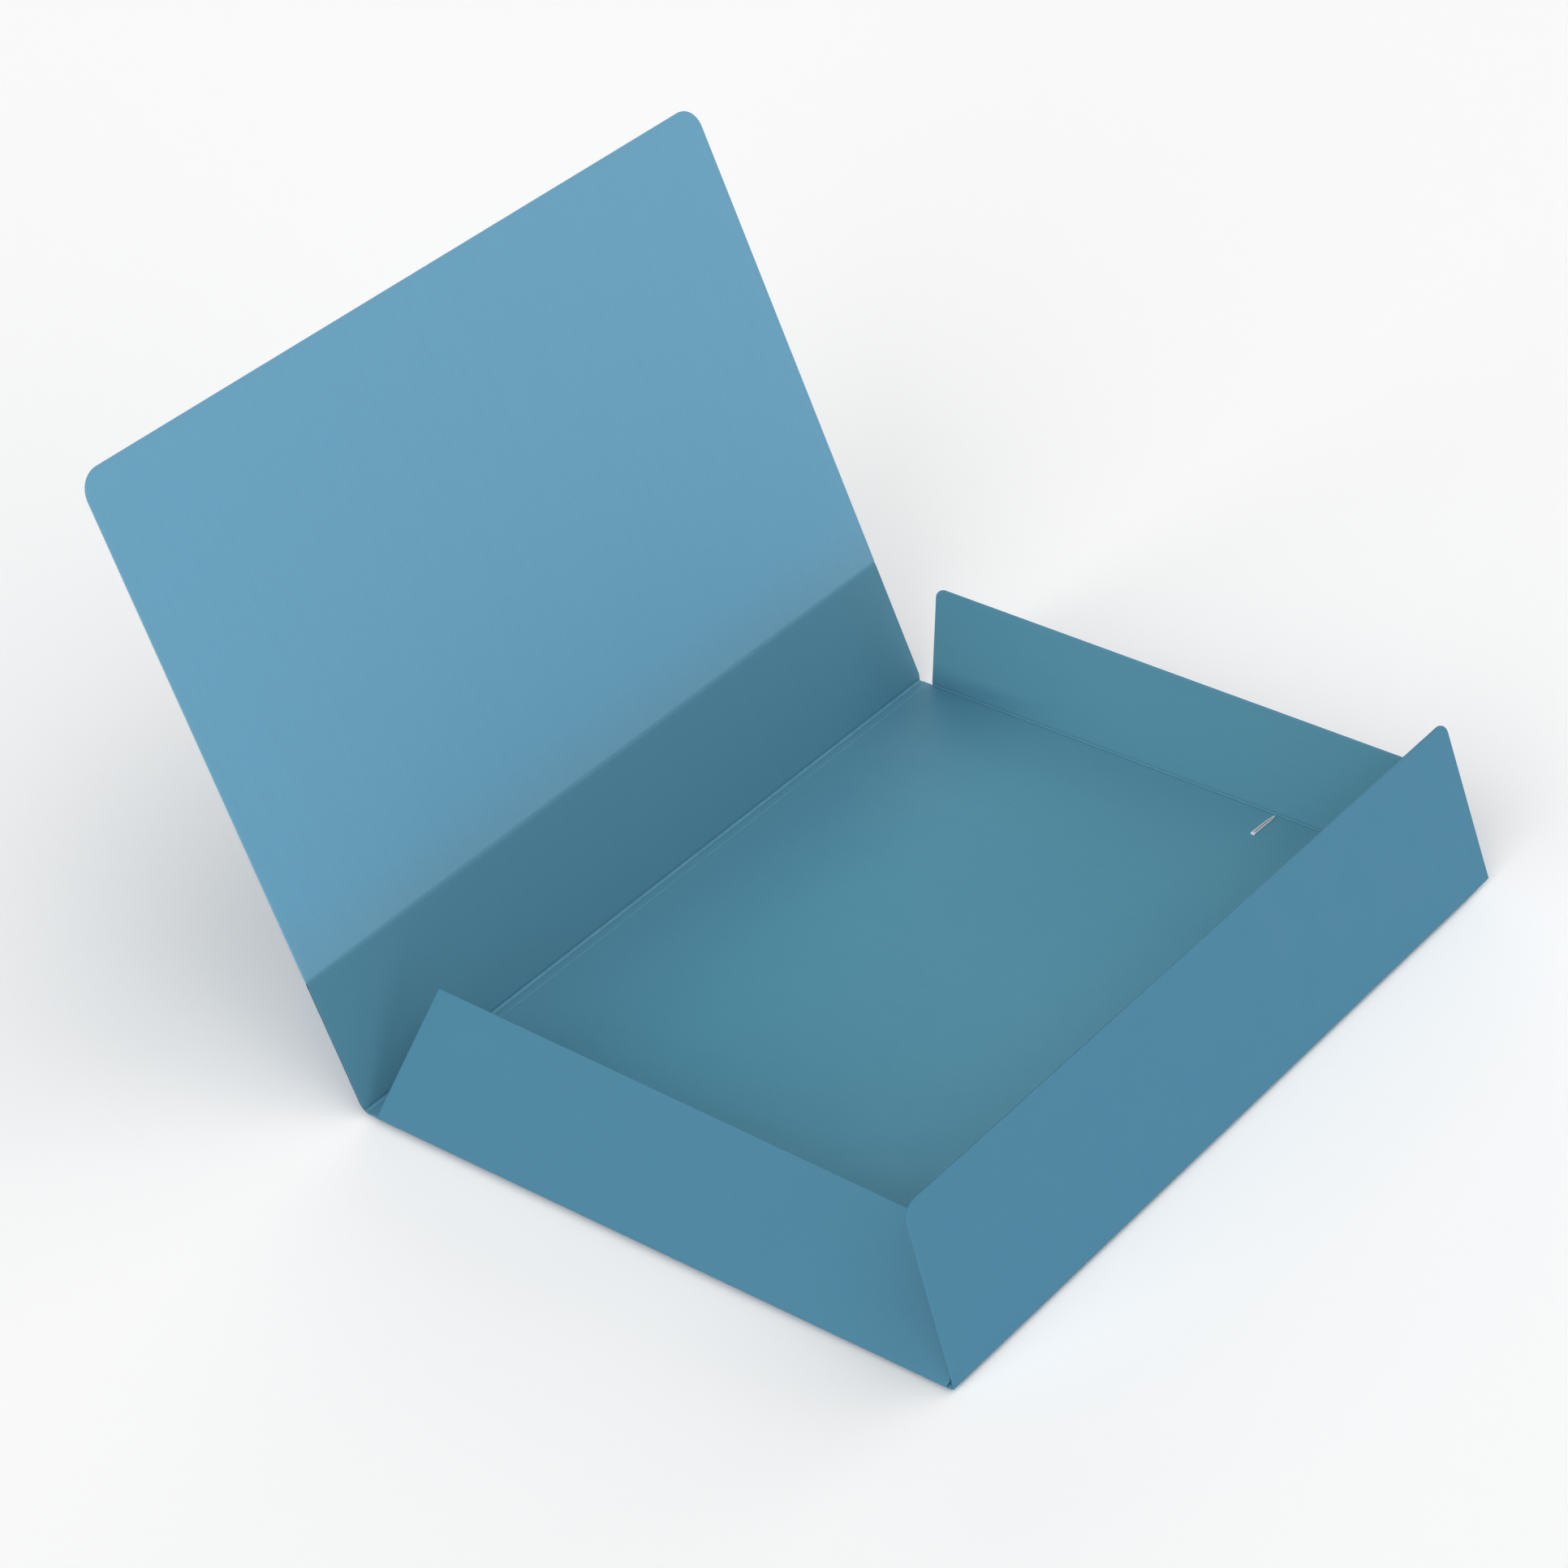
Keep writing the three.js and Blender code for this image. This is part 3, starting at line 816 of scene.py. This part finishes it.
# One lobe of the section, from the middle of its underside up to the lip of the seam: shares of half the
# width and of the height, and how much of the seam's painted shade it takes
BARB_LOBE = [
    (0.0, 0.0, 0), (0.45, 0.0, 0), (0.78, 0.03, 0), (0.95, 0.14, 0), (1.0, 0.34, 0), (0.99, 0.56, 0),
    (0.93, 0.76, 0), (0.82, 0.91, 0), (0.66, 0.985, 0), (0.52, 1.0, 0), (0.37, 0.985, 0.05),
    (0.28, 0.93, 0.45),
]
# The seam's wall and floor where it is open, and how high they are and how much painted shade they take
# where it is shut
SEAM_WALL = [(0.2, 0.78, 1.0), (0.1, 0.6, 1.0)]
SEAM_FLOOR = 0.52
SHUT_WALL = (0.98, 0.1)
SHUT_FLOOR = 0.97
# How far the seam lies off the barb's middle, as a share of half its width
BARB_SEAM_SHIFT = 0.24


def barb_section(width, height, seam):
    """A folded strip's section: two rolled lobes that meet in a seam on top. Rows are (x, z, share of the
    seam's painted shade).
    """
    side = width / 2
    middle = BARB_SEAM_SHIFT * side
    shut_z, shut_seam_shade = SHUT_WALL
    rows = [(x, z * height, seam_shade * seam) for x, z, seam_shade in BARB_LOBE]
    rows += [(x, between(shut_z, z, seam) * height, between(shut_seam_shade, seam_shade, seam))
             for x, z, seam_shade in SEAM_WALL]
    right = [(middle + x * (side - middle), z, seam_shade) for x, z, seam_shade in rows]
    left = [(middle - x * (side + middle), z, seam_shade) for x, z, seam_shade in reversed(rows[1:])]
    return right + [(middle, between(SHUT_FLOOR, SEAM_FLOOR, seam) * height, seam)] + left


def barb(name, outward):
    """A barb across its hole, a little askew, with its point towards the short flap's crease."""
    turn = Matrix.Translation((CORD_X, outward * CORD_END_Y, SHEET + BARB_LIFT))
    turn = turn @ Matrix.Rotation((0 if outward > 0 else math.pi) - math.radians(BARB_TURN), 4, "Z")
    rings = []
    for y, width, height, seam in BARB_STATIONS:
        section = barb_section(width, height, seam)
        rings.append([(turn @ Vector((x, y, z)), (x, y, seam_shade)) for x, z, seam_shade in section])
    return loft(name, rings, BARB_LOOK, BARB_SHARP)


elastic_braid = elastic_cord()
far_barb_metal = barb("far_barb_metal", 1)
near_barb_metal = barb("near_barb_metal", -1)


# What carries what: piece, body, the node that it stands for, and its material slot
RIDES = [
    (base_sheet, "base", "base_panel", "sheet"),
    (spine_sheet, "spine", "spine_panel", "sheet"),
    (cover_sheet, "cover", "cover_panel", "sheet"),
    (near_flap_sheet, "near_side", "near_flap", "sheet"),
    (far_flap_sheet, "far_side", "far_flap", "sheet"),
    (fore_flap_sheet, "fore_side", "fore_flap", "sheet"),
    (elastic_braid, "base", "elastic_cord", "elastic"),
    (far_barb_metal, "base", "far_barb", "barb_metal"),
    (near_barb_metal, "base", "near_barb", "barb_metal"),
]
# The folds: piece, the two bodies that it joins, the points between which it bends, and its node
BENDS = [
    (spine_fold, "base", "spine", spine_span, "spine_crease"),
    (cover_fold, "spine", "cover", cover_span, "cover_crease"),
    (near_fold, "base", "near_side", near_span, "near_crease"),
    (far_fold, "base", "far_side", far_span, "far_crease"),
    (fore_fold, "base", "fore_side", fore_span, "fore_crease"),
]
for piece, body, node, slot in RIDES:
    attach(piece, body)
    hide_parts(node)
for piece, body_a, body_b, (start, end), node in BENDS:
    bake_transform(piece)
    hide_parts(node)


# Floor, light and camera, in metres and degrees
FLOOR_TONE = 0.95
FLOOR_HALF = 9.0
WORLD_LIGHT = 0.109
WORLD_SEEN = 0.93
SUN_ANGLE = 50
# Large soft lamps: name, azimuth from +X towards +Y, elevation, and strength, where 1 lights a white
# face square to the lamp to white
SUNS = [
    ("fore_lamp", 0, 10, 0.272),
    ("far_lamp", 90, 10, 0.316),
    ("far_spine_lamp", 135, 10, 0.273),
    ("near_lamp", 270, 25, 0.608),
    ("high_far_lamp", 45, 55, 0.228),
    ("high_near_lamp", 315, 55, 0.338),
]
CAMERA_PLACE = (0.73139, -0.99241, 0.9352)
CAMERA_ANGLES = (55.5218, 2.0909, 37.1507)
CAMERA_LENS = 105.98
CAMERA_SENSOR = 36
CAMERA_CLIP = (0.05, 60)


def make_floor():
    t = Tree("pale_floor")
    t.set(Base_Color=(FLOOR_TONE, FLOOR_TONE, FLOOR_TONE, 1), Roughness=1.0, Specular_IOR_Level=0.0)
    mesh = bpy.data.meshes.new("floor")
    h, z = FLOOR_HALF, FLOOR_Z * MM
    mesh.from_pydata([(-h, -h, z), (h, -h, z), (h, h, z), (-h, h, z)], [], [(0, 1, 2, 3)])
    mesh.materials.append(t.material)
    floor = bpy.data.objects.new("floor", mesh)
    bpy.context.scene.collection.objects.link(floor)


def make_world():
    """A dim even light on the object, which shows as a pale background and in what reflects it."""
    world = bpy.data.worlds.new("studio")
    world.use_nodes = True
    nodes, links = world.node_tree.nodes, world.node_tree.links
    path = nodes.new("ShaderNodeLightPath")
    shown = path.outputs["Is Camera Ray"]
    for ray in ("Is Glossy Ray", "Is Transmission Ray"):
        either = nodes.new("ShaderNodeMath")
        either.operation = "MAXIMUM"
        links.new(shown, either.inputs[0])
        links.new(path.outputs[ray], either.inputs[1])
        shown = either.outputs[0]
    seen = nodes.new("ShaderNodeMapRange")
    seen.inputs["To Min"].default_value = WORLD_LIGHT
    seen.inputs["To Max"].default_value = WORLD_SEEN
    links.new(shown, seen.inputs["Value"])
    background = nodes["Background"]
    background.inputs["Color"].default_value = (1.0, 1.0, 1.0, 1)
    links.new(seen.outputs[0], background.inputs["Strength"])
    bpy.context.scene.world = world


def make_lamps():
    for name, azimuth, elevation, strength in SUNS:
        light = bpy.data.lights.new(name, "SUN")
        light.energy = math.pi * strength
        light.angle = math.radians(SUN_ANGLE)
        lamp = bpy.data.objects.new(name, light)
        lamp.rotation_euler = (math.radians(90 - elevation), 0, math.radians(90 + azimuth))
        bpy.context.scene.collection.objects.link(lamp)


def make_camera():
    data = bpy.data.cameras.new("camera")
    data.sensor_width = CAMERA_SENSOR
    data.lens = CAMERA_LENS
    data.clip_start, data.clip_end = CAMERA_CLIP
    camera = bpy.data.objects.new("camera", data)
    camera.location = CAMERA_PLACE
    camera.rotation_euler = [math.radians(a) for a in CAMERA_ANGLES]
    bpy.context.scene.collection.objects.link(camera)
    bpy.context.scene.camera = camera


make_floor()
make_world()
make_lamps()
make_camera()
bpy.context.scene.view_settings.view_transform = "Standard"
